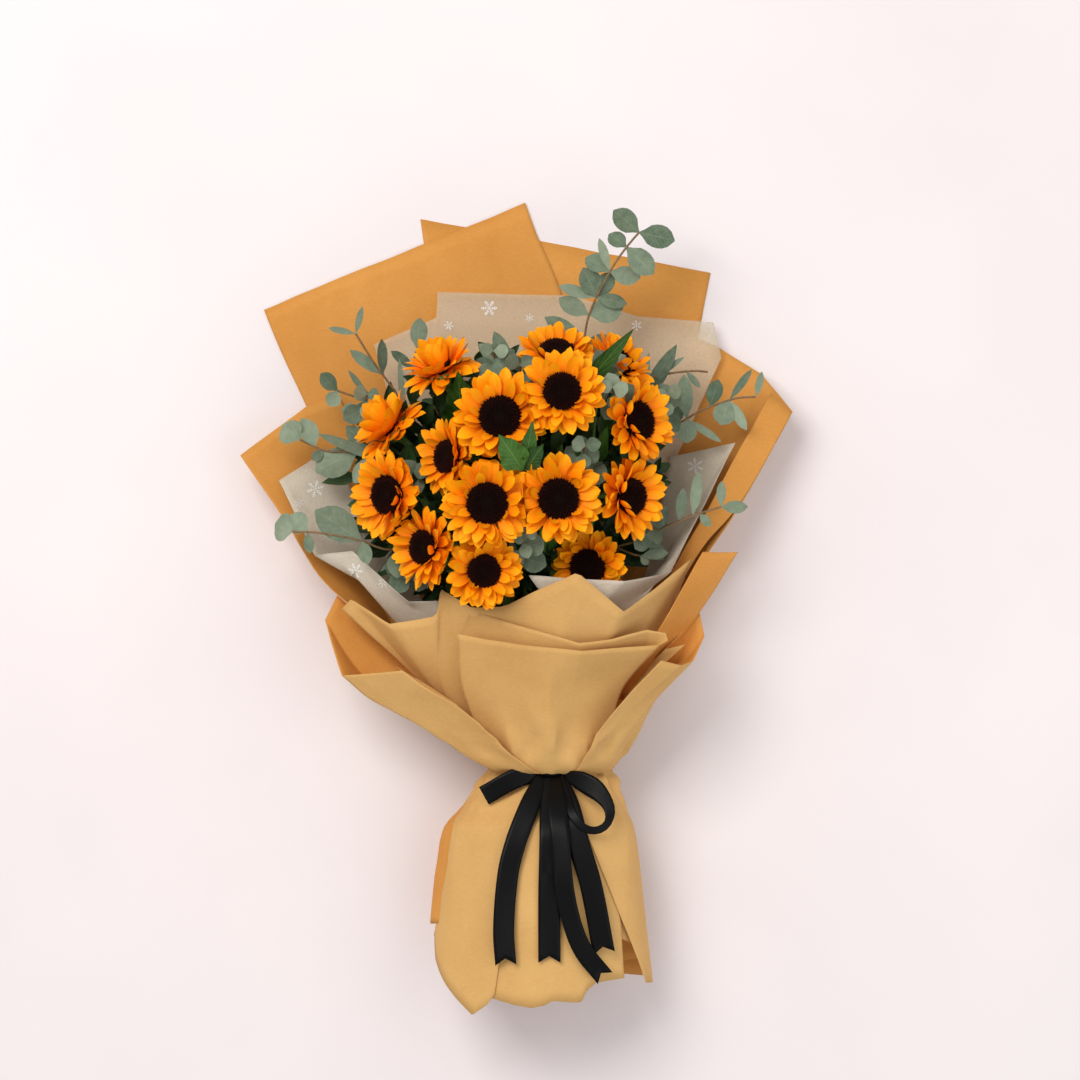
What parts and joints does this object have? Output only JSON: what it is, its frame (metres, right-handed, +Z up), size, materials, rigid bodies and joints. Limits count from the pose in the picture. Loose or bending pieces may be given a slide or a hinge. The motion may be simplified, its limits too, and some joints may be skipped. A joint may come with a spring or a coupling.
{
  "type": "bunch of sunflowers",
  "caption": "Wrapped bunch of sunflowers with eucalyptus sprigs, in kraft paper and tissue gathered at the waist and tied with a satin ribbon, lying on its back.",
  "frame": {"origin": "middle of the bunch's box in plan, on the surface that it lies on", "axes": "+Z up, the way the flower heads face; +Y from the tie toward the tips of the paper; +X to the right, seen from the front of the bunch"},
  "size_m": [0.5022, 0.735, 0.209],
  "materials": {
    "petal": "soft matte",
    "disc": "matte",
    "stem": "matte",
    "kraft": "matte",
    "tissue": "matte",
    "foliage": "matte",
    "ribbon": "satin"
  },
  "bodies": {
    "root": {"sunflower_01_petals": "petal", "sunflower_01_disc": "disc", "sunflower_01_stem": "stem", "sunflower_02_petals": "petal", "sunflower_02_disc": "disc", "sunflower_02_stem": "stem", "sunflower_03_petals": "petal", "sunflower_03_disc": "disc", "sunflower_03_stem": "stem", "sunflower_04_petals": "petal", "sunflower_04_disc": "disc", "sunflower_04_stem": "stem", "sunflower_05_petals": "petal", "sunflower_05_disc": "disc", "sunflower_05_stem": "stem", "sunflower_06_petals": "petal", "sunflower_06_disc": "disc", "sunflower_06_stem": "stem", "sunflower_07_petals": "petal", "sunflower_07_disc": "disc", "sunflower_07_stem": "stem", "sunflower_08_petals": "petal", "sunflower_08_disc": "disc", "sunflower_08_stem": "stem", "sunflower_09_petals": "petal", "sunflower_09_disc": "disc", "sunflower_09_stem": "stem", "sunflower_10_petals": "petal", "sunflower_10_disc": "disc", "sunflower_10_stem": "stem", "sunflower_11_petals": "petal", "sunflower_11_disc": "disc", "sunflower_11_stem": "stem", "sunflower_12_petals": "petal", "sunflower_12_disc": "disc", "sunflower_12_stem": "stem", "sunflower_13_petals": "petal", "sunflower_13_disc": "disc", "sunflower_13_stem": "stem", "sunflower_14_petals": "petal", "sunflower_14_disc": "disc", "sunflower_14_stem": "stem", "sunflower_15_petals": "petal", "sunflower_15_disc": "disc", "sunflower_15_stem": "stem", "kraft_back_right": "kraft", "kraft_back_left": "kraft", "kraft_side_left": "kraft", "kraft_side_right": "kraft", "kraft_inner": "kraft", "kraft_front": "kraft", "kraft_left": "kraft", "kraft_right": "kraft", "tissue_back": "tissue", "tissue_left": "tissue", "tissue_right": "tissue", "foliage_top": "foliage", "foliage_left": "foliage", "foliage_right": "foliage", "ribbon": "ribbon"}
  },
  "joints": []
}
